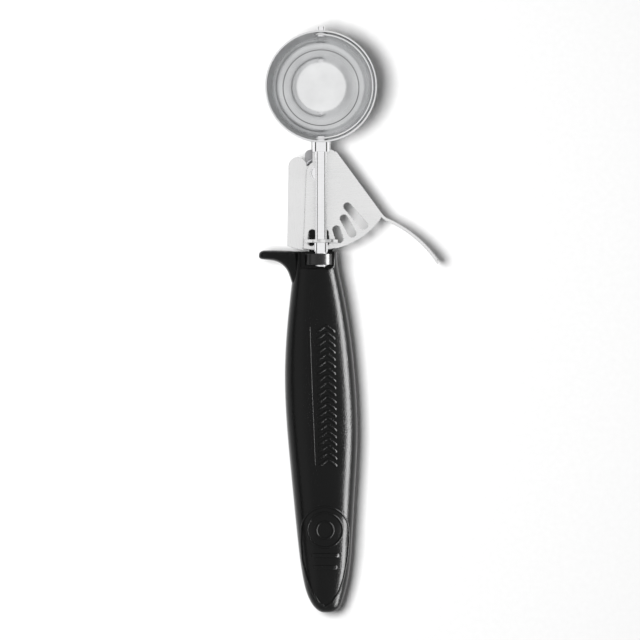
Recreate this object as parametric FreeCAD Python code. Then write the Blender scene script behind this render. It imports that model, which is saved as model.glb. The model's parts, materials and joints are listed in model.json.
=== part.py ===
# Lever ice cream scoop: bowl, turning scraper blade, toothed spindle, thumb lever and
# moulded handle. Lengths in mm, angles in degrees.
# The scoop lies on its back with the bowl's mouth up (+Z) and the bowl towards +Y.
# X = 0 is the spindle's centre line; the thumb lever is on the +X side.
# The origin is on the flat land under the handle, and Z = 0 is also the bowl's lowest point.
import FreeCAD, Part
import math
import os

V = FreeCAD.Vector

# Bowl
bowl_outer_d = 48.0
bowl_wall = 0.7
bowl_collar_h = 3.2
axis_z = bowl_outer_d / 2

# Scraper blade
blade_t = 0.6
blade_w = 6.0
blade_gap = 0.6
ear_d = 6.2

# Pin through the far wall of the bowl, and its washer
tip_pin_d = 2.2
tip_head_d = 3.3
tip_head_l = 1.7
tip_inner_head_d = 4.2
tip_inner_head_l = 0.65
tip_washer_d = 4.4
tip_washer_t = 0.35

# Spindle
spindle_d = 5.0
journal_d = 4.0
stub_d = 3.0
stub_head_d = 4.6
stub_head_l = 0.65
running_gap = 0.05
fixed_gap = 0.02

# Front bearing between bowl and spindle
collar_d = 7.2
collar_l = 4.1

# Pinion and its sleeve
pinion_teeth = 6
pinion_t = 1.3
tooth_height = 1.6
tooth_depth = 1.5
tooth_half_root = 1.25
tooth_half_tip = 0.7
tooth_sunk = 0.4
sleeve_d = 5.8
retainer_d = 5.6
retainer_t = 0.8

# Thumb lever: slotted sector, bent edge and thumb strip
sheet_t = 1.2
sector_r = 33.2
pivot_offset = 1.07
lever_travel = 35.0
lever_pitches = 3
slot_w = 3.3
slot_web = 1.75
slot_end_gap = 1.5
slot_l = [3.8, 4.0, 4.4, 7.5, 10.9]
sector_hub_r = 5.3
sector_left_angle = -11.5
sector_right_angle = 54.0
sector_edge_angle = 56.3
sector_top_x = 6.3
sector_corner_r = 2.4
strip_t = 1.2
strip_w = 12.5
flange_w = 3.4
bend_r = 6.0
bend_angle = 30.0
strip_bow_r = 51.0
strip_l = 29.5
strip_end_r = 5.0

# Pivot of the lever
pivot_d = 3.2
pivot_head_d = 6.4
pivot_head_h = 0.9
lever_washer_d = 7.2
lever_washer_t = 0.4
layer_gap = 0.3

# Guard plate
guard_t = 1.2
guard_left_low = 13.4
lobe_r = 3.9
lobe_x = 9.0
lobe_y = 3.0
guard_hub_r = 4.6
guard_hem = 0.8
guard_jog = 1.0
guard_tab_l = 7.0

# Return spring and its bush
spring_wire = 0.85
spring_pitch = 1.32
spring_turns = 2.75
spring_mean_r = 6.4
spring_leg = 5.6
spring_start = 180.0
lug_w = 2.6
bush_d = 7.4
post_d = 2.0

# Frame plate and bowl bracket
frame_t = 1.5
neck_half = 6.9
neck_top = 10.2
neck_corner_r = 2.2
tang_w = 9.6
tang_l = 70.0
tang_corner_r = 2.0
bracket_t = 1.2
bracket_w = 8.4
bracket_tail = 5.0
saddle_low_z = 2.5
saddle_front = 10.8
rivet_d = 2.0
bracket_rivet_x = 2.4
bracket_rivet_y = 8.1

# Handle
nose_y = 98.3
nose_gap = 0.5
neck_reach = 13.1
handle_end_y = -57.2
nose_low_z = 6.2
nose_top_z = 25.0
grip_left = 15.5
grip_right = 15.7
grip_top_z = 23.4
grip_full = 2.6
oval_count = 24
land_depth = 0.3
tongue_w = 10.1
tongue_l = 17.5
tongue_sunk = 5.0
tongue_rivet_x = 2.4
tongue_rivet_back = 4.4
pocket_l = 7.6
pocket_w = 14.6
pocket_offset = 1.7
pocket_floor = 3.5
strap_w = 12.0
strap_l = 4.7
strap_gap = 1.1
strap_offset = 0.8
strap_sink = 1.5
rest_tip_x = -26.7
rest_l = 20.0
rest_root = 16.0
rest_w = 10.0
rest_low_z = 11.0

# How far a cut runs past the face it opens
past = 1.0

# Places that follow from the sizes above
bowl_r = bowl_outer_d / 2
bowl_inner_r = bowl_r - bowl_wall
blade_outer_r = bowl_inner_r - blade_gap
blade_inner_r = blade_outer_r - blade_t
slot_outer_r = sector_r - slot_web - slot_w / 2
pinion_reach = slot_outer_r + slot_w / 2 - slot_end_gap - pinion_t / 2
pivot_x = -pivot_offset
pivot_y = nose_y + nose_gap + sector_r
bowl_y = pivot_y + neck_reach + bowl_r
pinion_y = pivot_y - pinion_reach
slot_pitch = lever_travel / lever_pitches
pitch_r = pinion_reach * math.radians(slot_pitch) / math.radians(360.0 / pinion_teeth)
sector_z = axis_z - pitch_r - sheet_t / 2
sector_top_z = sector_z + sheet_t
guard_z = sector_z - layer_gap - guard_t
spring_room = spring_turns * spring_pitch + spring_wire + 2 * layer_gap
frame_z = guard_z - spring_room - frame_t
frame_top_z = frame_z + frame_t
bracket_z = frame_z - bracket_t
strap_y = nose_y - strap_gap - strap_l


def cylinder_z(x, y, z, d, h):
    """Upright cylinder that stands on height z."""
    return Part.makeCylinder(d / 2, h, V(x, y, z), V(0, 0, 1))


def cylinder_y(y, d, l, x=0.0, z=axis_z):
    """Cylinder along the spindle's line, from y towards the bowl."""
    return Part.makeCylinder(d / 2, l, V(x, y, z), V(0, 1, 0))


def hole_z(x, y, z, d, t):
    """Upright cutter through a sheet of thickness t that starts at height z."""
    return cylinder_z(x, y, z - past, d, t + 2 * past)


def hole_y(y, d, l):
    """Cutter along the spindle's line, through a length l that starts at y."""
    return cylinder_y(y - past, d, l + 2 * past)


def box(x0, x1, y0, y1, z0, z1):
    return Part.makeBox(x1 - x0, y1 - y0, z1 - z0, V(x0, y0, z0))


def prism(edges, direction):
    """Solid from a closed run of edges, pushed along a direction."""
    return Part.Face(Part.Wire(edges)).extrude(direction)


def line(a, b):
    return Part.LineSegment(a, b).toShape()


def arc3(a, b, c):
    return Part.Arc(a, b, c).toShape()


def polar(radius, angle, z):
    """Point about the lever's pivot; angle 0 is towards the handle, positive to +X."""
    a = math.radians(angle)
    return V(pivot_x + radius * math.sin(a), pivot_y - radius * math.cos(a), z)


def corner_arc(before, here, after, radius):
    """Start, crown and end of the arc that rounds a corner."""
    to_before = (before - here).normalize()
    to_after = (after - here).normalize()
    half = to_before.getAngle(to_after) / 2
    back = radius / math.tan(half)
    middle = (to_before + to_after).normalize()
    crown = here + middle * (radius / math.sin(half) - radius)
    return here + to_before * back, crown, here + to_after * back


def rounded_polygon(points, radii, z):
    """Closed run of lines and arcs through points, each corner rounded by its radius."""
    edges = []
    ends = []
    count = len(points)
    for i in range(count):
        here = V(points[i][0], points[i][1], z)
        before = V(points[i - 1][0], points[i - 1][1], z)
        after = V(points[(i + 1) % count][0], points[(i + 1) % count][1], z)
        if radii[i] > 0:
            ends.append(corner_arc(before, here, after, radii[i]))
        else:
            ends.append((here, here, here))
    for i in range(count):
        first, crown, last = ends[i]
        if radii[i] > 0:
            edges.append(arc3(first, crown, last))
        start_next = ends[(i + 1) % count][0]
        if (start_next - last).Length > 1e-6:
            edges.append(line(last, start_next))
    return edges


def make_bowl():
    """Half-sphere with a straight collar above the spindle's line."""
    o = V(0, 0, 0)
    up = V(0, 0, bowl_collar_h)
    a = math.sqrt(0.5)
    outer = arc3(V(0, 0, -bowl_r), V(bowl_r * a, 0, -bowl_r * a), V(bowl_r, 0, 0))
    inner = arc3(V(bowl_inner_r, 0, 0), V(bowl_inner_r * a, 0, -bowl_inner_r * a),
                 V(0, 0, -bowl_inner_r))
    profile = [
        outer,
        line(V(bowl_r, 0, 0), V(bowl_r, 0, 0) + up),
        line(V(bowl_r, 0, 0) + up, V(bowl_inner_r, 0, 0) + up),
        line(V(bowl_inner_r, 0, 0) + up, V(bowl_inner_r, 0, 0)),
        inner,
        line(V(0, 0, -bowl_inner_r), V(0, 0, -bowl_r)),
    ]
    shell = Part.Face(Part.Wire(profile)).revolve(o, V(0, 0, 1), 360)
    shell.translate(V(0, bowl_y, axis_z))
    near_hole = hole_y(bowl_y - bowl_r, spindle_d + 4 * running_gap, bowl_wall)
    far_hole = hole_y(bowl_y + bowl_inner_r, tip_pin_d + 2 * fixed_gap, bowl_wall)
    return shell.cut(near_hole).cut(far_hole)


def make_blade():
    """Half-ring band that follows the bowl, with a round ear at each end."""
    half = blade_w / 2
    x_out = math.sqrt(blade_outer_r ** 2 - half ** 2)
    x_in = math.sqrt(blade_inner_r ** 2 - half ** 2)
    profile = [
        arc3(V(x_out, 0, -half), V(blade_outer_r, 0, 0), V(x_out, 0, half)),
        line(V(x_out, 0, half), V(x_in, 0, half)),
        arc3(V(x_in, 0, half), V(blade_inner_r, 0, 0), V(x_in, 0, -half)),
        line(V(x_in, 0, -half), V(x_out, 0, -half)),
    ]
    band = Part.Face(Part.Wire(profile))
    band.rotate(V(0, 0, 0), V(0, 0, 1), -90)
    band = band.revolve(V(0, 0, 0), V(0, 0, 1), 180)
    band.translate(V(0, bowl_y, axis_z))
    near_ear = cylinder_y(bowl_y - blade_outer_r, ear_d, blade_t)
    far_ear = cylinder_y(bowl_y + blade_inner_r, ear_d, blade_t)
    blade = band.fuse([near_ear, far_ear]).removeSplitter()
    near_face = cylinder_y(bowl_y - blade_inner_r, ear_d, past)
    far_face = cylinder_y(bowl_y + blade_inner_r - past, ear_d, past)
    near_hole = hole_y(bowl_y - blade_outer_r, stub_d + 2 * fixed_gap, blade_t)
    far_hole = hole_y(bowl_y + blade_inner_r, tip_pin_d + 2 * running_gap, blade_t)
    return blade.cut([near_face, far_face, near_hole, far_hole])


def make_tip_rivet():
    """Pin from inside the blade's far ear out through the wall of the bowl."""
    inner_face = bowl_y + blade_inner_r - running_gap
    wall_face = bowl_y + bowl_r
    pin = cylinder_y(inner_face, tip_pin_d, wall_face - inner_face)
    inner_head = cylinder_y(inner_face - tip_inner_head_l, tip_inner_head_d, tip_inner_head_l)
    outer_head = cylinder_y(wall_face, tip_head_d, tip_head_l)
    return pin.fuse([inner_head, outer_head]).removeSplitter()


def make_tip_washer():
    start = bowl_y + blade_outer_r + running_gap
    disc = cylinder_y(start, tip_washer_d, tip_washer_t)
    return disc.cut(hole_y(start, tip_pin_d + 2 * fixed_gap, tip_washer_t))


def make_spindle():
    """Stepped rod: journal at the handle, rod, stub through the blade's ear, riveted head."""
    journal_y = strap_y - running_gap
    shoulder_y = pinion_y + pinion_t / 2
    ear_y = bowl_y - blade_outer_r
    head_y = ear_y + blade_t
    journal = cylinder_y(journal_y - retainer_t, journal_d, shoulder_y - journal_y + retainer_t)
    rod = cylinder_y(shoulder_y, spindle_d, ear_y - shoulder_y)
    stub = cylinder_y(ear_y, stub_d, blade_t)
    head = cylinder_y(head_y, stub_head_d, stub_head_l)
    return journal.fuse([rod, stub, head]).removeSplitter()


def make_front_collar():
    """Bearing brazed to the bowl's near wall."""
    bore_d = spindle_d + 2 * running_gap
    near = bowl_y - bowl_r - collar_l
    blank = cylinder_y(near, collar_d, collar_l + bowl_wall)
    ball = Part.makeSphere(bowl_r, V(0, bowl_y, axis_z))
    drum = cylinder_z(0, bowl_y, axis_z, bowl_outer_d, bowl_r)
    return blank.cut(ball).cut(drum).cut(hole_y(near, bore_d, collar_l + bowl_wall))


def tooth_phase():
    """Angle of a tooth from straight down, at rest, that meets a slot as the lever swings."""
    line_angle = math.degrees(math.atan2(pivot_offset, pinion_reach))
    return (slot_pitch / 2 - line_angle) * (360.0 / pinion_teeth) / slot_pitch


def make_pinion():
    """Disc with tapered teeth."""
    root_r = pitch_r - tooth_depth
    tip_r = pitch_r + tooth_height
    y = pinion_y - pinion_t / 2
    body = cylinder_y(y, 2 * root_r, pinion_t)
    teeth = []
    for i in range(pinion_teeth):
        foot = tooth_sunk - root_r
        corners = [V(-tooth_half_root, 0, foot), V(tooth_half_root, 0, foot),
                   V(tooth_half_tip, 0, -tip_r), V(-tooth_half_tip, 0, -tip_r)]
        edges = [line(corners[k - 1], corners[k]) for k in range(4)]
        tooth = prism(edges, V(0, pinion_t, 0))
        turn = -(tooth_phase() + i * 360.0 / pinion_teeth)
        tooth.rotate(V(0, 0, 0), V(0, 1, 0), turn)
        tooth.translate(V(0, y, axis_z))
        teeth.append(tooth)
    wheel = body.fuse(teeth).removeSplitter()
    return wheel.cut(hole_y(y, journal_d + 2 * fixed_gap, pinion_t))


def make_pinion_sleeve():
    start = strap_y + strap_l + running_gap
    end = pinion_y - pinion_t / 2
    tube = cylinder_y(start, sleeve_d, end - start)
    return tube.cut(hole_y(start, journal_d + 2 * fixed_gap, end - start))


def make_spindle_retainer():
    """Push-on cap behind the strap, with a chamfered outer edge."""
    end = strap_y - running_gap
    chamfer = retainer_t / 2
    disc = cylinder_y(end - chamfer, retainer_d, chamfer)
    cone = Part.makeCone(retainer_d / 2, retainer_d / 2 - chamfer, retainer_t - chamfer,
                         V(0, end - chamfer, axis_z), V(0, -1, 0))
    cap = disc.fuse(cone).removeSplitter()
    return cap.cut(hole_y(end - retainer_t, journal_d + 2 * fixed_gap, retainer_t))


def edge_points():
    """Top and lower corner of the sector's straight right edge, in plan."""
    top = V(pivot_x + sector_top_x, pivot_y + neck_top, 0)
    low = polar(sector_r - strip_t / 2, sector_edge_angle, 0)
    return top, low


def top_corner():
    """Start, crown and end of the arc at the sector's top right corner, from right to left."""
    top, low = edge_points()
    return corner_arc(low, top, top - V(sector_top_x, 0, 0), sector_corner_r)


def arc_band(start, heading, radius, turn):
    """Part of a ring, strip_t thick, that leaves start along heading and turns by turn."""
    side = 1.0 if turn > 0 else -1.0
    normal = V(-math.sin(heading), math.cos(heading), 0) * side
    centre = start + normal * radius
    spoke = -1 * normal

    def spot(r, angle):
        c = math.cos(angle)
        s = math.sin(angle)
        return centre + V(spoke.x * c - spoke.y * s, spoke.x * s + spoke.y * c, 0) * r

    inner = radius - strip_t / 2
    outer = radius + strip_t / 2
    edges = [
        arc3(spot(inner, 0), spot(inner, turn / 2), spot(inner, turn)),
        line(spot(inner, turn), spot(outer, turn)),
        arc3(spot(outer, turn), spot(outer, turn / 2), spot(outer, 0)),
        line(spot(outer, 0), spot(inner, 0)),
    ]
    return edges, spot(radius, turn), heading + turn


def make_strip():
    """Edge bent down from the sector, which runs on into the thumb strip."""
    low = edge_points()[1]
    top = top_corner()[0]
    heading = math.atan2(low.y - top.y, low.x - top.x)
    bend = math.radians(bend_angle)
    sweep = strip_l / strip_bow_r
    depth = V(0, 0, -strip_w)
    lift = V(0, 0, sector_top_z)
    along = V(math.cos(heading), math.sin(heading), 0)
    side = V(-along.y, along.x, 0) * (strip_t / 2)
    corners = [top + side, low + side, low - side, top - side]
    straight = prism([line(corners[k - 1], corners[k]) for k in range(4)], depth)
    bend_edges, bend_end, bend_heading = arc_band(low, heading, bend_r, bend)
    bow_edges, bow_end = arc_band(bend_end, bend_heading, strip_bow_r, -sweep)[:2]
    band = straight.fuse([prism(bend_edges, depth), prism(bow_edges, depth)]).removeSplitter()
    band.translate(lift)
    reach = bow_end - top
    run = reach.Length
    along = reach.normalize()
    across = V(-along.y, along.x, 0)
    bend_run = (low - top).dot(along)

    def side_point(s, drop):
        return top + along * s - across * sector_r + lift - V(0, 0, drop)

    r = strip_end_r
    k = 1 - math.sqrt(0.5)
    end = run + strip_t / 3
    edges = [
        line(side_point(-past, -past), side_point(end - r, -past)),
        line(side_point(end - r, -past), side_point(end - r, 0)),
        arc3(side_point(end - r, 0), side_point(end - r * k, r * k), side_point(end, r)),
        line(side_point(end, r), side_point(end, strip_w - r)),
        arc3(side_point(end, strip_w - r), side_point(end - r * k, strip_w - r * k),
             side_point(end - r, strip_w)),
        line(side_point(end - r, strip_w), side_point(bend_run, strip_w)),
        line(side_point(bend_run, strip_w), side_point(-past, flange_w)),
        line(side_point(-past, flange_w), side_point(-past, -past)),
    ]
    return band.common(prism(edges, across * (2 * sector_r)))


def make_thumb_lever():
    """Slotted sector about the pivot, with its bent edge and thumb strip."""
    z = sector_z
    up = V(0, 0, z)
    top, low = edge_points()
    corner_right, corner_crown, corner_left = top_corner()
    left_low = polar(sector_r, sector_left_angle, z)
    right_low = polar(sector_r, sector_right_angle, z)
    mid_low = polar(sector_r, (sector_left_angle + sector_right_angle) / 2, z)
    hub_left = polar(sector_hub_r, -90.0, z)
    hub_mid = polar(sector_hub_r, -120.0, z)
    hub_top = polar(sector_hub_r, -150.0, z)
    top_left = V(hub_top.x, top.y, z)
    outline = [
        arc3(left_low, mid_low, right_low),
        line(right_low, low + up),
        line(low + up, corner_right + up),
        arc3(corner_right + up, corner_crown + up, corner_left + up),
        line(corner_left + up, top_left),
        line(top_left, hub_top),
        arc3(hub_top, hub_mid, hub_left),
        line(hub_left, left_low),
    ]
    plate = prism(outline, V(0, 0, sheet_t))
    leg_top = pivot_y + spring_mean_r + spring_wire / 2 + fixed_gap
    leg_end = pivot_x + spring_leg
    leg_z = spring_place(spring_turns).z
    lug = box(leg_end - lug_w, leg_end, leg_top, leg_top + sheet_t, leg_z - spring_wire, z)
    lever = plate.fuse([make_strip(), lug]).removeSplitter()
    for i in range(len(slot_l)):
        angle = (i - 0.5) * slot_pitch
        inner = polar(slot_outer_r - slot_l[i], angle, z - past)
        outer = polar(slot_outer_r, angle, z - past)
        side = V(math.cos(math.radians(angle)), math.sin(math.radians(angle)), 0)
        side = side * (slot_w / 2)
        down = (outer - inner).normalize() * (slot_w / 2)
        edges = [
            line(inner - side, outer - side),
            arc3(outer - side, outer + down, outer + side),
            line(outer + side, inner + side),
            arc3(inner + side, inner - down, inner - side),
        ]
        lever = lever.cut(prism(edges, V(0, 0, sheet_t + 2 * past)))
    return lever.cut(hole_z(pivot_x, pivot_y, z, pivot_d + 2 * running_gap, sheet_t))


def make_lever_washer():
    start = sector_top_z + running_gap
    disc = cylinder_z(pivot_x, pivot_y, start, lever_washer_d, lever_washer_t)
    return disc.cut(hole_z(pivot_x, pivot_y, start, pivot_d + 2 * fixed_gap, lever_washer_t))


def make_lever_rivet():
    """Pivot pin from under the frame plate up to its head above the washer."""
    low = frame_z - pivot_head_h
    head_z = sector_top_z + running_gap + lever_washer_t
    pin = cylinder_z(pivot_x, pivot_y, low, pivot_d, head_z - low)
    head = Part.makeCone(pivot_head_d / 2, pivot_head_d / 4, pivot_head_h,
                         V(pivot_x, pivot_y, head_z), V(0, 0, 1))
    foot = cylinder_z(pivot_x, pivot_y, low, pivot_head_d, pivot_head_h)
    return pin.fuse([head, foot]).removeSplitter()


def make_spring_bush():
    height = guard_z - frame_top_z
    tube = cylinder_z(pivot_x, pivot_y, frame_top_z, bush_d, height)
    return tube.cut(hole_z(pivot_x, pivot_y, frame_top_z, pivot_d + 2 * fixed_gap, height))


def biarc(p0, t0, p1, t1):
    """Two arcs from p0 to p1 that leave along t0 and arrive along t1."""
    chord = p1 - p0
    a = 2 * t0.dot(t1) - 2
    b = -2 * chord.dot(t0 + t1)
    c = chord.dot(chord)
    d = (-b - math.sqrt(b * b - 4 * a * c)) / (2 * a)
    q0 = p0 + t0 * d
    q1 = p1 - t1 * d
    join = (q0 + q1) * 0.5
    edges = []
    for start, corner, end in ((p0, q0, join), (join, q1, p1)):
        middle = (start + end) * 0.5
        rise = corner - middle
        half = (end - start).Length / 2
        angle = math.atan2(rise.Length, half)
        crown = middle + rise * (math.tan(angle / 2) / math.tan(angle))
        edges.append(arc3(start, crown, end))
    return edges


def spring_place(turns):
    """Point on the coil, which climbs clockwise seen from above."""
    a = math.radians(spring_start - 360.0 * turns)
    low = frame_top_z + layer_gap + spring_wire / 2
    return V(pivot_x + spring_mean_r * math.cos(a), pivot_y + spring_mean_r * math.sin(a),
             low + spring_pitch * turns)


def spring_heading(turns):
    """Direction of the wire there."""
    a = math.radians(spring_start - 360.0 * turns)
    round_speed = 2 * math.pi * spring_mean_r
    return V(round_speed * math.sin(a), -round_speed * math.cos(a), spring_pitch).normalize()


def make_return_spring():
    """Torsion spring wound about the pivot: quarter turns of wire and a straight leg each end."""
    foot = spring_place(0) - spring_heading(0) * spring_leg
    edges = [line(foot, spring_place(0))]
    quarters = int(round(spring_turns * 4))
    for i in range(quarters):
        a = i * spring_turns / quarters
        b = (i + 1) * spring_turns / quarters
        edges.extend(biarc(spring_place(a), spring_heading(a), spring_place(b),
                           spring_heading(b)))
    last = spring_place(spring_turns)
    edges.append(line(last, last + spring_heading(spring_turns) * spring_leg))
    path = Part.Wire(edges)
    ring = Part.Wire(Part.Circle(foot, spring_heading(0), spring_wire / 2).toShape())
    coil = path.makePipeShell([ring], True, False)
    print("spring gap between turns %.2f mm" % (spring_pitch - spring_wire))
    print("spring volume %.2f, section times length %.2f"
          % (coil.Volume, math.pi * spring_wire ** 2 / 4 * path.Length))
    return coil


def make_spring_post():
    """Pin between the frame and guard plates that stops the spring's fixed leg."""
    x = pivot_x - spring_mean_r - spring_wire / 2 - fixed_gap - post_d / 2
    y = pivot_y - spring_leg + post_d / 2
    return cylinder_z(x, y, frame_top_z, post_d, guard_z - frame_top_z)


def make_guard_plate():
    """Smooth plate left of the spindle: tall lobe, hub round the pivot, tab on the tongue."""
    z = guard_z
    guard_r = sector_r + guard_hem
    left_angle = -math.degrees(math.asin(guard_left_low / guard_r))
    low_left = polar(guard_r, left_angle, z)
    low_right = polar(guard_r, sector_left_angle, z)
    low_mid = polar(guard_r, (left_angle + sector_left_angle) / 2, z)
    centre = V(pivot_x - lobe_x, pivot_y + lobe_y, z)
    lobe_left = V(centre.x - lobe_r, centre.y, z)
    lobe_top = V(centre.x, centre.y + lobe_r, z)
    lobe_right = V(centre.x + lobe_r, centre.y, z)
    inner_x = low_right.x + guard_jog
    tab_top = nose_y + tongue_l
    tab_low = tab_top - guard_tab_l
    tab_x = tongue_w / 2
    edges = [
        line(low_left, lobe_left),
        arc3(lobe_left, lobe_top, lobe_right),
        line(lobe_right, V(pivot_x, pivot_y + guard_hub_r, z)),
        arc3(V(pivot_x, pivot_y + guard_hub_r, z), V(pivot_x + guard_hub_r, pivot_y, z),
             V(pivot_x, pivot_y - guard_hub_r, z)),
        line(V(pivot_x, pivot_y - guard_hub_r, z), V(pivot_x, tab_top, z)),
        line(V(pivot_x, tab_top, z), V(tab_x, tab_top, z)),
        line(V(tab_x, tab_top, z), V(tab_x, tab_low, z)),
        line(V(tab_x, tab_low, z), V(inner_x, tab_low, z)),
        line(V(inner_x, tab_low, z), low_right),
        arc3(low_right, low_mid, low_left),
    ]
    plate = prism(edges, V(0, 0, guard_t))
    plate = plate.cut(hole_z(pivot_x, pivot_y, z, pivot_d + 2 * fixed_gap, guard_t))
    for x, y in tongue_rivet_places():
        plate = plate.cut(hole_z(x, y, z, rivet_d + 2 * fixed_gap, guard_t))
    return plate


def tongue_rivet_places():
    y = nose_y + tongue_l - tongue_rivet_back
    return [(-tongue_rivet_x, y), (tongue_rivet_x, y)]


def bracket_rivet_places():
    y = pivot_y + bracket_rivet_y
    return [(-bracket_rivet_x, y), (bracket_rivet_x, y)]


def make_tongue_rivets():
    """Flush rivets through guard plate, tongue and frame plate."""
    height = guard_z + guard_t - frame_z
    pins = [cylinder_z(x, y, frame_z, rivet_d, height) for x, y in tongue_rivet_places()]
    return Part.makeCompound(pins)


def make_bracket_rivets():
    """Flush rivets through frame plate and bowl bracket."""
    height = frame_top_z - bracket_z
    pins = [cylinder_z(x, y, bracket_z, rivet_d, height) for x, y in bracket_rivet_places()]
    return Part.makeCompound(pins)


def make_frame_plate():
    """Neck plate round the pivot, narrowing to the tang inside the handle."""
    half = tang_w / 2
    top = pivot_y + neck_top
    shoulder = nose_y + tongue_l
    end = nose_y - tang_l
    points = [(-half, end), (half, end), (half, shoulder), (neck_half, pivot_y - neck_half),
              (neck_half, top), (-neck_half, top), (-neck_half, pivot_y - neck_half),
              (-half, shoulder)]
    radii = [tang_corner_r, tang_corner_r, 0, 0, neck_corner_r, neck_corner_r, 0, 0]
    plate = prism(rounded_polygon(points, radii, frame_z), V(0, 0, frame_t))
    plate = plate.cut(hole_z(pivot_x, pivot_y, frame_z, pivot_d + 2 * fixed_gap, frame_t))
    for x, y in tongue_rivet_places() + bracket_rivet_places():
        plate = plate.cut(hole_z(x, y, frame_z, rivet_d + 2 * fixed_gap, frame_t))
    return plate


def make_bowl_bracket():
    """Foot under the frame plate and a saddle that hugs the bowl up to its collar."""
    half = bracket_w / 2
    saddle_r = bowl_r + bracket_t
    ball = Part.makeSphere(saddle_r, V(0, bowl_y, axis_z))
    hollow = Part.makeSphere(bowl_r, V(0, bowl_y, axis_z))
    saddle_top = axis_z - collar_d / 2 - fixed_gap
    window = box(-half, half, bowl_y - saddle_r - past, bowl_y - saddle_front, saddle_low_z,
                 saddle_top)
    saddle = ball.cut(hollow).common(window)
    foot_end = bowl_y - math.sqrt(bowl_r ** 2 - (axis_z - bracket_z) ** 2)
    foot_start = pivot_y + bracket_tail
    foot = box(-half, half, foot_start, foot_end + past, bracket_z, bracket_z + bracket_t)
    bracket = saddle.fuse(foot.cut(hollow)).removeSplitter()
    for x, y in bracket_rivet_places():
        bracket = bracket.cut(hole_z(x, y, bracket_z, rivet_d + 2 * fixed_gap, bracket_t))
    return bracket


def grip_stations():
    """Sections from end to nose: shares of the length, grip_left, grip_right and, for the
    lowest and highest places, grip_top_z."""
    land = -land_depth / grip_top_z
    nose_low = nose_low_z / grip_top_z
    nose_top = nose_top_z / grip_top_z
    return [
        (0.000, -0.058, 0.261, 0.406, 0.573),
        (0.009, 0.129, 0.471, 0.295, 0.688),
        (0.035, 0.316, 0.601, 0.201, 0.778),
        (0.085, 0.477, 0.732, 0.111, 0.863),
        (0.190, 0.632, 0.850, 0.026, 0.949),
        (0.330, 0.774, 0.928, land, 1.000),
        (0.480, 0.916, 1.000, land, 1.017),
        (0.650, 1.000, 0.935, 0.021, 1.026),
        (0.800, 0.929, 0.765, 0.111, 1.043),
        (0.910, 0.813, 0.562, 0.201, 1.064),
        (1.000, 0.748, 0.444, nose_low, nose_top),
    ]


def oval_points(left, right, low, high):
    """Points round a squarish oval between the given sides."""
    mid_u = (left + right) / 2
    mid_v = (low + high) / 2
    half_u = (right - left) / 2
    half_v = (high - low) / 2
    points = []
    for i in range(oval_count):
        a = 2 * math.pi * (i + 0.5) / oval_count
        c = math.cos(a)
        s = math.sin(a)
        u = math.copysign(abs(c) ** (2 / grip_full), c)
        v = math.copysign(abs(s) ** (2 / grip_full), s)
        points.append((mid_u + half_u * u, mid_v + half_v * v))
    return points


def grip_section(y, left, right, low, high):
    curve = Part.BSplineCurve()
    points = oval_points(left, right, low, high)
    curve.interpolate([V(x, y, z) for x, z in points], PeriodicFlag=True)
    return Part.Wire(curve.toShape())


def make_grip():
    length = nose_y - handle_end_y
    wires = []
    for share, left, right, low, high in grip_stations():
        wires.append(grip_section(handle_end_y + share * length, -left * grip_left,
                                  right * grip_right, low * grip_top_z, high * grip_top_z))
    return Part.makeLoft(wires, True, False)


def rest_stations():
    """Sections of the finger rest from its tip: share of rest_l from the tip, low and high
    edge as shares of rest_root below the nose, and share of rest_w taken off each side."""
    return [
        (0.000, 0.144, 0.075, 0.38),
        (0.015, 0.181, 0.031, 0.29),
        (0.060, 0.206, -0.012, 0.17),
        (0.175, 0.225, -0.031, 0.07),
        (0.360, 0.262, -0.031, 0.02),
        (0.520, 0.375, -0.025, 0.00),
        (0.630, 0.562, -0.019, 0.00),
        (0.710, 0.850, -0.012, 0.00),
        (0.825, 0.969, -0.006, 0.00),
        (1.000, 1.000, 0.019, 0.02),
    ]


def make_finger_rest():
    """Hooked rest left of the nose, lofted from squarish oval sections."""
    wires = []
    for inset, low, high, thin in rest_stations():
        x = rest_tip_x + inset * rest_l
        points = oval_points(nose_y - low * rest_root, nose_y - high * rest_root,
                             rest_low_z + thin * rest_w, rest_low_z + rest_w - thin * rest_w)
        curve = Part.BSplineCurve()
        curve.interpolate([V(x, y, z) for y, z in points], PeriodicFlag=True)
        wires.append(Part.Wire(curve.toShape()))
    return Part.makeLoft(wires, True, False)


def make_handle():
    """Moulded handle: grip, finger rest, tongue, strap pocket, tang socket."""
    grip = make_grip()
    tongue = box(-tongue_w / 2, tongue_w / 2, nose_y - tongue_sunk, nose_y + tongue_l,
                 frame_top_z, guard_z)
    handle = grip.fuse([make_finger_rest(), tongue])
    length = nose_y - handle_end_y
    below = box(-length, length, handle_end_y - length, nose_y + length, -length, 0)
    handle = handle.cut(below)
    pocket = box(-pocket_w / 2 - pocket_offset, pocket_w / 2 - pocket_offset,
                 nose_y - pocket_l, nose_y + past, axis_z - pocket_floor, nose_top_z + past)
    handle = handle.cut(pocket)
    half = tang_w / 2 + fixed_gap
    socket = box(-half, half, nose_y - tang_l - fixed_gap, nose_y + past,
                 frame_z - fixed_gap, frame_top_z)
    handle = handle.cut(socket)
    for x, y in tongue_rivet_places():
        handle = handle.cut(hole_z(x, y, frame_top_z, rivet_d + 2 * fixed_gap,
                                   guard_z - frame_top_z))
    return handle.removeSplitter()


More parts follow.
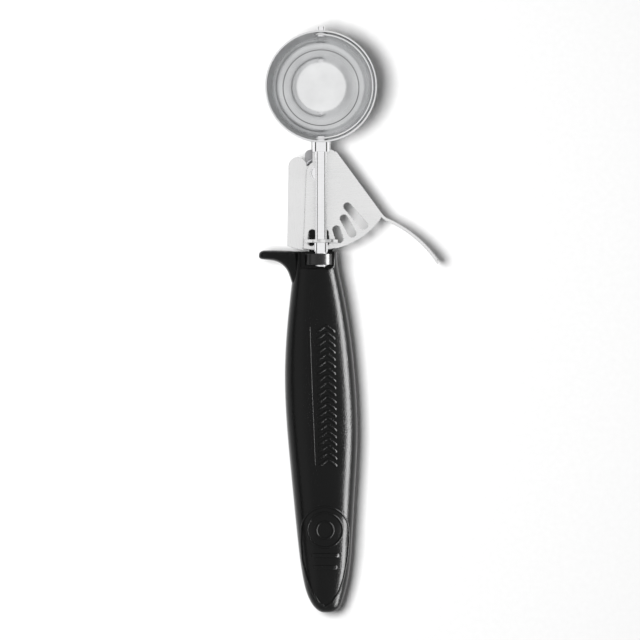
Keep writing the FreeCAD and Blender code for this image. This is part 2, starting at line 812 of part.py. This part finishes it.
def make_bearing_strap():
    """Saddle over the spindle's end, seated on the pocket's floor."""
    radius = strap_w / 2
    centre_z = axis_z - strap_sink
    floor_z = axis_z - pocket_floor
    arch = cylinder_y(strap_y, strap_w, strap_l, -strap_offset, centre_z)
    left = -strap_offset - radius
    foot = box(left, left + strap_w, strap_y, strap_y + strap_l, floor_z, centre_z)
    under = box(left - past, left + strap_w + past, strap_y - past,
                strap_y + strap_l + past, floor_z - strap_w, floor_z)
    strap = arch.fuse(foot).cut(under).removeSplitter()
    return strap.cut(hole_y(strap_y, journal_d + 2 * running_gap, strap_l))


def export(name, shape):
    if shape.isNull() or not shape.isValid() or not shape.Solids:
        print("PROBLEM", name, "valid", shape.isValid(), "solids", len(shape.Solids))
    shape.exportStep("parts/" + name + ".step")
    b = shape.BoundBox
    print("%-18s %d solid  volume %9.2f  x %.1f %.1f  y %.1f %.1f  z %.1f %.1f"
          % (name, len(shape.Solids), shape.Volume, b.XMin, b.XMax, b.YMin, b.YMax,
             b.ZMin, b.ZMax))


def main():
    os.makedirs("parts", exist_ok=True)
    export("bowl", make_bowl())
    export("tip_rivet", make_tip_rivet())
    export("tip_washer", make_tip_washer())
    export("scraper_blade", make_blade())
    export("spindle", make_spindle())
    export("front_collar", make_front_collar())
    export("pinion", make_pinion())
    export("pinion_sleeve", make_pinion_sleeve())
    export("spindle_retainer", make_spindle_retainer())
    export("bearing_strap", make_bearing_strap())
    export("thumb_lever", make_thumb_lever())
    export("lever_washer", make_lever_washer())
    export("lever_rivet", make_lever_rivet())
    export("spring_bush", make_spring_bush())
    export("return_spring", make_return_spring())
    export("spring_post", make_spring_post())
    export("guard_plate", make_guard_plate())
    export("frame_plate", make_frame_plate())
    export("bowl_bracket", make_bowl_bracket())
    export("bracket_rivets", make_bracket_rivets())
    export("tongue_rivets", make_tongue_rivets())
    export("handle", make_handle())


main()
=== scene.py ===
import json
import math

import bmesh
import bpy
import numpy as np
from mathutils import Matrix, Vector
from mathutils.bvhtree import BVHTree


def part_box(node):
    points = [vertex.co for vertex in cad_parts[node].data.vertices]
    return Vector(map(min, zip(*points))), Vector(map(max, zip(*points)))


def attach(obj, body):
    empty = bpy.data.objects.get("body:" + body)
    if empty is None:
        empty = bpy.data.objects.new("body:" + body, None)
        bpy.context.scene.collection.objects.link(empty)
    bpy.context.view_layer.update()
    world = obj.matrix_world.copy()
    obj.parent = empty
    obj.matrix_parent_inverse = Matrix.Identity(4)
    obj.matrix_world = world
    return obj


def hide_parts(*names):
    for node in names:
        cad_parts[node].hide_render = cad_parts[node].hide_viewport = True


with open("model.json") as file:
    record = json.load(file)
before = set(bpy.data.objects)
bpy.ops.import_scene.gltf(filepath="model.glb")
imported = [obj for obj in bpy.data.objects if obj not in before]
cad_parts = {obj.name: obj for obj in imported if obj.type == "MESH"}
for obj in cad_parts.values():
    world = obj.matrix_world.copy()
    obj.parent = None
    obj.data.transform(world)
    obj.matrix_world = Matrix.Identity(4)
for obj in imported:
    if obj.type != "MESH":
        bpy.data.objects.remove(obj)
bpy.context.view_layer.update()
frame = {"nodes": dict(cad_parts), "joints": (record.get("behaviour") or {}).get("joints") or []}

# The photograph's frame: metres to a pixel, and where the part's origin lies in it
PX = 0.00043
ORIGIN_U = 321.0
ORIGIN_V = 480.0
IMAGE_SIZE = 640
MM = 0.001
UP = np.array([0, 0, 1.0])


def at(u, v):
    """Plan place, in metres, of a point of the photograph."""
    return (u - ORIGIN_U) * PX, (ORIGIN_V - v) * PX


# Places that follow from the frame
BOWL_Y = sum(corner[1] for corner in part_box("bowl")) / 2
PIVOT = np.array([j for j in frame["joints"] if j["name"] == "lever_swing"][0]["pos_m"])

# The bowl's inside, by distance from its axis: the scored line's radius and the distances
# from it over which its painted shade fades, the band that dulls towards the rim, the band
# where painted shade darkens the wall, and the polishing rings to a metre
SCORED_R = 38.0 * PX
SCORED_SHADE_FADE = (0.10 * MM, 0.28 * MM)
RIM_BAND = (19.5 * MM, 22.8 * MM)
WALL_SHADE_BAND = (10.0 * MM, 20.0 * MM)
POLISH_RINGS = 9000.0

# How deep each finish's fine relief goes
RING_DEPTH = 0.004 * MM
STREAK_DEPTH = 0.002 * MM
GRIP_GRAIN = 0.080 * MM
STRAP_GRAIN = 0.002 * MM

# Width and height of each kind of ridge on the handle
RING_RIDGE = (0.9 * MM, 0.5 * MM)
OUTLINE_RIDGE = (0.9 * MM, 0.45 * MM)
BAR_RIDGE = (2.0 * MM, 0.5 * MM)
RIB_RIDGE = (1.3 * MM, 0.55 * MM)
EDGE_RIDGE = (0.7 * MM, 0.3 * MM)
RIB_COUNT = 20


class Value:
    """A shader socket that can be used in plain sums."""

    def __init__(self, maker, socket):
        self.maker = maker
        self.socket = socket

    def sum_with(self, operation, first, second):
        return self.maker.node("ShaderNodeMath", {"operation": operation}, {0: first, 1: second})

    def __add__(self, other):
        return self.sum_with("ADD", self, other)

    def __radd__(self, other):
        return self.sum_with("ADD", other, self)

    def __sub__(self, other):
        return self.sum_with("SUBTRACT", self, other)

    def __rsub__(self, other):
        return self.sum_with("SUBTRACT", other, self)

    def __mul__(self, other):
        return self.sum_with("MULTIPLY", self, other)

    def __rmul__(self, other):
        return self.sum_with("MULTIPLY", other, self)


class Nodes:
    """Adds nodes to one empty tree: every node comes from node()."""

    def __init__(self, owner):
        owner.use_nodes = True
        self.owner = owner
        self.tree = owner.node_tree
        self.tree.nodes.clear()

    def node(self, kind, settings=None, inputs=None, output=0):
        made = self.tree.nodes.new(kind)
        for key, value in (settings or {}).items():
            setattr(made, key, value)
        for key, value in (inputs or {}).items():
            if isinstance(value, Value):
                self.tree.links.new(value.socket, made.inputs[key])
            else:
                made.inputs[key].default_value = value
        return Value(self, made.outputs[output])

    def close(self, surface, kind="ShaderNodeOutputMaterial"):
        """Ends the tree in the surface and gives back its owner."""
        out = self.tree.nodes.new(kind)
        self.tree.links.new(surface.socket, out.inputs["Surface"])
        return self.owner


class Finish(Nodes):
    """One material, from patterns in object coordinates to a surface."""

    def __init__(self, name):
        super().__init__(bpy.data.materials.new(name))

    def place(self, scale=(1, 1, 1), centre=(0, 0, 0)):
        """Object coordinates less centre, times scale."""
        here = self.node("ShaderNodeTexCoord", output="Object")
        moved = self.node("ShaderNodeVectorMath", {"operation": "SUBTRACT"}, {0: here, 1: centre})
        return self.node("ShaderNodeVectorMath", {"operation": "MULTIPLY"}, {0: moved, 1: scale})

    def noise(self, vector, scale=1.0, detail=3.0, rough=0.5):
        return self.node("ShaderNodeTexNoise", {}, {"Vector": vector, "Scale": scale,
                                                   "Detail": detail, "Roughness": rough})

    def spread(self, value, low, high, to_low, to_high):
        """Maps low..high to to_low..to_high, held at the ends."""
        return self.node("ShaderNodeMapRange", {"clamp": True},
                         {0: value, 1: low, 2: high, 3: to_low, 4: to_high})

    def blend(self, mask, dark, light):
        """Colour from dark to light by a mask."""
        return self.node("ShaderNodeMix", {"data_type": "RGBA"},
                         {0: mask, 6: (*dark, 1), 7: (*light, 1)}, output=2)

    def bump(self, height, depth, edge_r):
        """Fine relief over edges that are rounded by edge_r."""
        rounded = self.node("ShaderNodeBevel", {"samples": 6}, {"Radius": edge_r})
        return self.node("ShaderNodeBump", {}, {"Height": height, "Distance": depth,
                                                "Strength": 1.0, "Normal": rounded})

    def done(self, fixed, changing):
        """Ends in one principled surface."""
        return self.close(self.node("ShaderNodeBsdfPrincipled", {}, {**fixed, **changing}))


def bowl_finish(name, centre_x, centre_y):
    """Spun and polished steel: fine rings about the bowl's own axis, one scored line whose
    groove's shade is painted dark into the colour, painted shade that darkens the wall
    towards the rim, and a duller band near the rim."""
    f = Finish(name)
    plan = f.place((1, 1, 0), (centre_x, centre_y, 0))
    radius = f.node("ShaderNodeVectorMath", {"operation": "LENGTH"}, {0: plan}, output=1)
    along = f.node("ShaderNodeCombineXYZ", {}, {0: radius * POLISH_RINGS})
    rings = f.noise(along, 1.0, 2.0)
    smear = f.noise(f.place((60, 60, 60)), 1.0, 3.0)
    off_line = f.node("ShaderNodeMath", {"operation": "ABSOLUTE"}, {0: radius - SCORED_R})
    # Painted shade: the colour falls to a quarter on the scored line, in place of the shade in
    # its real groove
    line = f.spread(off_line, *SCORED_SHADE_FADE, 0.25, 1.0)
    tone = f.spread(smear, 0.3, 0.7, 0.0, 1.0) * line
    rim_dull = f.spread(radius, *RIM_BAND, 0.0, 0.4)
    # Painted shade: the wall's colour darkens by a tenth from 10 to 20 mm out, in place of the
    # shade on the sloping wall; the mask below carries it, the scored line's painted shade and
    # the random smear tone into the colour
    painted_wall_shade = f.spread(radius, *WALL_SHADE_BAND, 1.0, 0.90)
    tone_with_painted_shade = (line * 0.8 + tone * 0.2) * painted_wall_shade
    return f.done(
        {"Metallic": 1.0},
        {"Base Color": f.blend(tone_with_painted_shade, (0.12, 0.12, 0.12), (0.87, 0.875, 0.88)),
         "Roughness": f.spread(rings + smear, 0.7, 1.3, 0.05, 0.11) + rim_dull,
         "Normal": f.bump(rings, RING_DEPTH, 0.15 * MM)})


def sheet_finish(name, base, low_rough, high_rough, lengthwise=(3200, 90, 90),
                 edge_r=0.35 * MM):
    """Rolled sheet: short fine streaks one way, with soft clouding."""
    f = Finish(name)
    streaks = f.noise(f.place(lengthwise), 1.0, 4.0, 0.6)
    clouds = f.noise(f.place((90, 90, 90)), 1.0, 2.0)
    mask = f.spread(streaks * 0.6 + clouds * 0.4, 0.35, 0.65, 0.0, 1.0)
    dark = tuple(c * 0.93 for c in base)
    return f.done(
        {"Metallic": 1.0},
        {"Base Color": f.blend(mask, dark, base),
         "Roughness": f.spread(streaks, 0.3, 0.7, low_rough, high_rough),
         "Normal": f.bump(streaks, STREAK_DEPTH, edge_r)})


def turned_finish(name, base, low_rough, high_rough):
    """Turned rod: very fine rings across the spindle's length."""
    return sheet_finish(name, base, low_rough, high_rough, (120, 5200, 120))


def plastic_finish(name, base, low_rough, high_rough, grain_depth, specular, edge_r):
    """Moulded black plastic with a fine spark-eroded grain."""
    f = Finish(name)
    grain = f.noise(f.place((1800, 1800, 1800)), 1.0, 2.0)
    wide = f.noise(f.place((55, 55, 55)), 1.0, 3.0)
    mask = f.spread(wide * 0.5 + grain * 0.5, 0.35, 0.65, 0.0, 1.0)
    dark = tuple(c * 0.7 for c in base)
    return f.done(
        {"Specular IOR Level": specular},
        {"Base Color": f.blend(mask, dark, base),
         "Roughness": f.spread(wide + grain, 0.7, 1.3, low_rough, high_rough),
         "Normal": f.bump(grain, grain_depth, edge_r)})


BOWL_STEEL = bowl_finish("polished bowl steel", 0.0, BOWL_Y)
SHEET_STEEL = sheet_finish("rolled sheet steel", (0.80, 0.80, 0.80), 0.24, 0.36)
LEVER_STEEL = sheet_finish("pressed lever steel", (0.80, 0.80, 0.80), 0.22, 0.34,
                           (90, 3200, 90), 0.6 * MM)
# Painted shade: a darkened copy of the sheet steel for the frame, whose neck lies in the shade
# between the bowl and the plates
FRAME_STEEL_IN_PAINTED_SHADE = sheet_finish("frame steel darkened as painted shade", (0.44, 0.44, 0.45), 0.30, 0.42)
TURNED_STEEL = turned_finish("turned steel", (0.88, 0.88, 0.89), 0.06, 0.13)
SPRING_STEEL = turned_finish("spring wire", (0.62, 0.62, 0.64), 0.2, 0.32)
BLACK_GRIP = plastic_finish("black moulded grip", (0.0014, 0.0015, 0.0015), 0.18, 0.28,
                            GRIP_GRAIN, 0.15, 0.4 * MM)
BLACK_STRAP = plastic_finish("black glossy strap", (0.0015, 0.0015, 0.0016), 0.26, 0.34,
                             STRAP_GRAIN, 0.4, 0.5 * MM)

NODE_FINISH = {
    "bowl": BOWL_STEEL,
    "scraper_blade": BOWL_STEEL,
    "tip_rivet": TURNED_STEEL,
    "tip_washer": TURNED_STEEL,
    "spindle": TURNED_STEEL,
    "front_collar": TURNED_STEEL,
    "pinion": SHEET_STEEL,
    "pinion_sleeve": TURNED_STEEL,
    "spindle_retainer": TURNED_STEEL,
    "bearing_strap": BLACK_STRAP,
    "thumb_lever": LEVER_STEEL,
    "lever_washer": TURNED_STEEL,
    "lever_rivet": TURNED_STEEL,
    "spring_bush": TURNED_STEEL,
    "return_spring": SPRING_STEEL,
    "spring_post": TURNED_STEEL,
    "guard_plate": SHEET_STEEL,
    "frame_plate": FRAME_STEEL_IN_PAINTED_SHADE,
    "bowl_bracket": SHEET_STEEL,
    "bracket_rivets": TURNED_STEEL,
    "tongue_rivets": TURNED_STEEL,
    "handle": BLACK_GRIP,
}
for node, finish in NODE_FINISH.items():
    materials = frame["nodes"][node].data.materials
    materials.clear()
    materials.append(finish)


def new_piece(name, verts, faces, finish, body):
    """Mesh piece at the origin that rides on a body."""
    mesh = bpy.data.meshes.new(name)
    mesh.from_pydata(np.reshape(verts, (-1, 3)).tolist(), [], faces)
    mesh.validate()
    work = bmesh.new()
    work.from_mesh(mesh)
    bmesh.ops.recalc_face_normals(work, faces=work.faces)
    work.to_mesh(mesh)
    work.free()
    mesh.polygons.foreach_set("use_smooth", np.ones(len(mesh.polygons), dtype=bool))
    mesh.materials.append(finish)
    piece = bpy.data.objects.new(name, mesh)
    bpy.context.scene.collection.objects.link(piece)
    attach(piece, body)
    return piece


def unit(vectors):
    """Each row divided by its own length."""
    return vectors / np.linalg.norm(vectors, axis=1)[:, None]


def swept(path, sides, ups, profile, closed):
    """A closed profile carried along a path: every vertex is the path's point, plus the side
    vector times the profile's first number, plus the up vector times its second."""
    verts = (path[:, None] + sides[:, None] * profile[None, :, :1]
             + ups[:, None] * profile[None, :, 1:])
    rows, columns = len(path), len(profile)
    row = np.arange(rows if closed else rows - 1)[:, None]
    column = np.arange(columns)[None, :]
    row_on = (row + 1) % rows
    column_on = (column + 1) % columns
    quads = np.stack([row * columns + column, row * columns + column_on,
                      row_on * columns + column_on, row_on * columns + column], -1)
    faces = quads.reshape(-1, 4).tolist()
    if not closed:
        faces.append(list(range(columns)))
        faces.append(list(range((rows - 1) * columns, rows * columns)))
    return verts, faces


def arched_profile(width, height, depth):
    """Half an ellipse over a straight foot: width cos and height sin of an angle from 0 to a
    half turn, then two corners at the depth below."""
    angle = np.linspace(0, np.pi, 9)
    arch = np.stack([width / 2 * np.cos(angle), height * np.sin(angle)], 1)
    foot = np.array([(-width / 2, -depth), (width / 2, -depth)])
    return np.vstack([arch, foot])


def make_spring():
    """Wound wire round the pivot with a straight leg at each end: the middle line is a circle
    of mean_r that rises by one pitch a turn, and each leg goes on along the coil's end chord."""
    low = np.array(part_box("return_spring")[0])
    wire_r = 0.425 * MM
    mean_r = 6.4 * MM
    pitch = 1.32 * MM
    turns = 2.75
    leg = 5.6 * MM
    steps = 198
    t = np.linspace(0, turns, steps)
    angle = np.pi - 2 * np.pi * t
    coil = np.stack([PIVOT[0] + mean_r * np.cos(angle), PIVOT[1] + mean_r * np.sin(angle),
                     low[2] + wire_r + pitch * t], 1)
    first, last = unit(np.array([coil[0] - coil[1], coil[-1] - coil[-2]]))
    path = np.vstack([coil[0] + first * leg, coil, coil[-1] + last * leg])
    along = unit(np.gradient(path, axis=0))
    sides = unit(np.cross(along, UP))
    ring = np.linspace(0, 2 * np.pi, 14, endpoint=False)
    profile = wire_r * np.stack([np.cos(ring), np.sin(ring)], 1)
    verts, faces = swept(path, sides, np.cross(sides, along), profile, False)
    piece = new_piece("return_spring_wire", verts, faces, SPRING_STEEL, "root")
    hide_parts("return_spring")


class HandleTop:
    """The handle's upper surface, for plan points to drop onto."""

    def __init__(self):
        mesh = frame["nodes"]["handle"].data
        corners = [v.co.copy() for v in mesh.vertices]
        self.tree = BVHTree.FromPolygons(corners, [tuple(p.vertices) for p in mesh.polygons])

    def drop(self, plan):
        """Places and normals under the plan points, by a ray from 0.2 m above each."""
        down = Vector((0, 0, -1))
        hits = [self.tree.ray_cast(Vector((x, y, 0.2)), down)[:2] for x, y in plan]
        return np.array([hit[0] for hit in hits]), np.array([hit[1] for hit in hits])


def ridge(name, plan, top, size, closed):
    """Low rounded ridge along a plan path on the handle. An open end sinks along the normal
    by the ridge's height times one less the root of its distance from the end."""
    width, height = size
    plan = np.array(plan)
    if closed:
        ahead = np.roll(plan, -1, axis=0) - np.roll(plan, 1, axis=0)
    else:
        ahead = np.gradient(plan, axis=0)
    path, normals = top.drop(plan)
    sides = unit(np.cross(np.column_stack([ahead, np.zeros(len(ahead))]), normals))
    sunk = 0.15 * MM
    if not closed:
        run = np.concatenate([[0], np.cumsum(np.linalg.norm(np.diff(plan, axis=0), axis=1))])
        left = np.minimum(run, run[-1] - run)
        fall = 0.9 * (sunk + height) * (1 - np.sqrt(np.clip(left / width, 0, 1)))
        path = path - normals * fall[:, None]
    verts, faces = swept(path, sides, normals, arched_profile(width, height, sunk), closed)
    return new_piece(name, verts, faces, BLACK_GRIP, "root")


def circle(u, v, radius, count=96):
    """Plan points of a circle given in the photograph's pixels."""
    angles = np.linspace(0, 2 * np.pi, count, endpoint=False)
    return [at(u + radius * math.cos(a), v + radius * math.sin(a)) for a in angles]


def resampled(points, step):
    """Even steps along a plan line through the given points."""
    points = np.array(points)
    runs = np.concatenate([[0], np.cumsum(np.linalg.norm(np.diff(points, axis=0), axis=1))])
    places = np.linspace(0, runs[-1], max(3, int(runs[-1] / step)))
    return np.stack([np.interp(places, runs, column) for column in points.T], 1)


def make_pocket_lip():
    """Rounded lip on the right and lower edge of the pocket behind the strap: an arched
    profile carried along stations in picture pixels and millimetres of height."""
    stations = [(334, 252.5, 23.9), (334, 264.5, 23.9), (333.4, 266.8, 24.2),
                (332, 268.4, 24.6), (330, 269.0, 24.9), (327.5, 269.1, 24.95)]
    path = np.array([(*at(u, v), z * MM) for u, v, z in stations])
    sides = unit(np.cross(np.gradient(path, axis=0), UP))
    ups = np.tile(UP, (len(path), 1))
    verts, faces = swept(path, sides, ups, arched_profile(0.66 * MM, 0.33 * MM, 3.0 * MM), False)
    return new_piece("pocket_lip", verts, faces, BLACK_STRAP, "root")


def make_handle_relief():
    """Raised rings, bars and outline on the handle's end, and chevron ribs along its grip,
    all of them ridges whose plan lines are given in picture pixels. The outline is half a
    circle of arch_r that runs on down both sides to a blunt point."""
    top = HandleTop()
    ring_u = 325.0
    ring_v = 530.0
    pieces = [ridge("end_ring", circle(ring_u, ring_v, 17.5), top, RING_RIDGE, True),
              ridge("end_ring_inner", circle(ring_u, ring_v, 8.5, 64), top, RING_RIDGE, True)]
    arch_r = 23.4
    angles = np.radians(np.linspace(180, 360, 40))
    arch = [(ring_u + arch_r * math.cos(a), ring_v + arch_r * math.sin(a)) for a in angles]
    right = [(349, 541), (347, 560), (343.5, 578), (339, 592), (332, 603)]
    left = [(301.3, 541), (302.5, 560), (307, 578), (312, 592), (319, 603)]
    outline = arch + right + [(325.5, 607)] + left[::-1]
    line = resampled([at(u, v) for u, v in outline + outline[:1]], 0.6 * MM)[:-1]
    pieces.append(ridge("end_outline", line, top, OUTLINE_RIDGE, True))
    for i, (v, half) in enumerate([(555.5, 15.0), (567.5, 13.0)]):
        bar = resampled([at(ring_u - half, v), at(ring_u + half, v)], 0.4 * MM)
        pieces.append(ridge("end_bar_%d" % (i + 1), bar, top, BAR_RIDGE, False))
    for i in range(RIB_COUNT):
        share = i / (RIB_COUNT - 1)
        v = 329 + 134 * share
        middle = 326.0 + 2.0 * share
        chevron = [(-9.5, 3.5), (-1, -3), (1, -3), (9.5, 3.5)]
        rib = resampled([at(middle + across, v + down) for across, down in chevron], 0.4 * MM)
        pieces.append(ridge("grip_rib_%02d" % (i + 1), rib, top, RIB_RIDGE, False))
    edge = resampled([at(309.5, 326), at(312, 395), at(315, 466)], 1.0 * MM)
    pieces.append(ridge("panel_edge", edge, top, EDGE_RIDGE, False))
    pieces.append(make_pocket_lip())
    return pieces


def floor_finish():
    """Pale matt table that takes the part's shadow."""
    f = Finish("pale floor")
    speck = f.noise(f.place((400, 400, 400)), 1.0, 2.0)
    tone = f.spread(speck, 0.3, 0.7, 0.0, 1.0)
    pale = f.blend(tone, (0.90, 0.90, 0.90), (0.92, 0.92, 0.92))
    return f.close(f.node("ShaderNodeBsdfDiffuse", {}, {"Color": pale}))


def stage_sheet(name, corners, finish):
    """Flat four-cornered sheet that belongs to the studio."""
    mesh = bpy.data.meshes.new(name)
    mesh.from_pydata(corners, [], [(0, 1, 2, 3)])
    mesh.materials.append(finish)
    sheet = bpy.data.objects.new(name, mesh)
    bpy.context.scene.collection.objects.link(sheet)
    return sheet


def make_floor():
    """Pale table just under the part's lowest point."""
    half = 3.0
    corners = [(-half, -half, 0), (half, -half, 0), (half, half, 0), (-half, half, 0)]
    stage_sheet("floor", corners, floor_finish()).location.z = -0.02 * MM


def make_dark_card(name, x):
    """Black card beside the table that only shows in what gloss and metal reflect."""
    low, high, near, far = 0.0, 0.45, -1.0, 1.2
    f = Finish(name)
    black = f.close(f.node("ShaderNodeBsdfDiffuse", {}, {"Color": (0, 0, 0, 1)}))
    corners = [(x, near, low), (x, far, low), (x, far, high), (x, near, high)]
    card = stage_sheet(name, corners, black)
    card.visible_camera = False
    card.visible_diffuse = False
    card.visible_shadow = False


def area_light(name, place, target, length, width, power):
    """Rectangle of light that faces the target, its length level with the table."""
    data = bpy.data.lights.new(name, "AREA")
    data.energy = power
    data.shape = "RECTANGLE"
    data.size = length
    data.size_y = width
    lamp = bpy.data.objects.new(name, data)
    lamp.location = place
    lamp.rotation_euler = (Vector(target) - Vector(place)).to_track_quat("-Z", "Y").to_euler()
    bpy.context.scene.collection.objects.link(lamp)
    return lamp


def make_lights(dark_pieces):
    """Soft key from the left, and two wide lights that only gloss the dark plastic."""
    middle = (0, 0.07, 0)
    key = area_light("key", (-0.25, 0.09, 1.17), middle, 0.34, 0.34, 15.8)
    key.visible_glossy = False
    strip = area_light("right strip", (0.75, -0.15, 0.22), (0, -0.15, 0), 1.6, 0.34, 72.0)
    fill = area_light("left fill", (-0.7, 0.0, 0.45), middle, 1.2, 0.9, 1.2)
    dark = bpy.data.collections.new("dark plastic")
    for piece in dark_pieces:
        dark.objects.link(piece)
    for lamp in (strip, fill):
        lamp.visible_diffuse = False
        lamp.light_linking.receiver_collection = dark


def make_world():
    """Plain white studio to the camera and in reflections, a weak even light elsewhere."""
    world = bpy.data.worlds.new("studio")
    bpy.context.scene.world = world
    w = Nodes(world)
    camera_ray = w.node("ShaderNodeLightPath", output="Is Camera Ray")
    glossy_ray = w.node("ShaderNodeLightPath", output="Is Glossy Ray")
    either = w.node("ShaderNodeMath", {"operation": "MAXIMUM"}, {0: camera_ray, 1: glossy_ray})
    white = (1, 1, 1, 1)
    lit = w.node("ShaderNodeBackground", {}, {"Color": white, "Strength": 0.10})
    seen = w.node("ShaderNodeBackground", {}, {"Color": white, "Strength": 0.98})
    w.close(w.node("ShaderNodeMixShader", {}, {0: either, 1: lit, 2: seen}),
            "ShaderNodeOutputWorld")


def make_camera():
    """Straight down from far away, so the view has next to no perspective."""
    middle_u = IMAGE_SIZE / 2
    x, y = at(middle_u, middle_u)
    height = 3.0
    plane_z = 0.02
    data = bpy.data.cameras.new("camera")
    data.sensor_width = 36.0
    data.lens = 36.0 * height / (IMAGE_SIZE * PX)
    data.clip_end = 20.0
    camera = bpy.data.objects.new("camera", data)
    camera.location = (x, y, plane_z + height)
    bpy.context.scene.collection.objects.link(camera)
    bpy.context.scene.camera = camera


make_spring()
relief = make_handle_relief()
make_floor()
make_dark_card("left card", -1.4)
make_dark_card("right card", 1.4)
make_lights([frame["nodes"]["handle"], frame["nodes"]["bearing_strap"]] + relief)
make_world()
make_camera()
bpy.context.scene.view_settings.view_transform = "Standard"
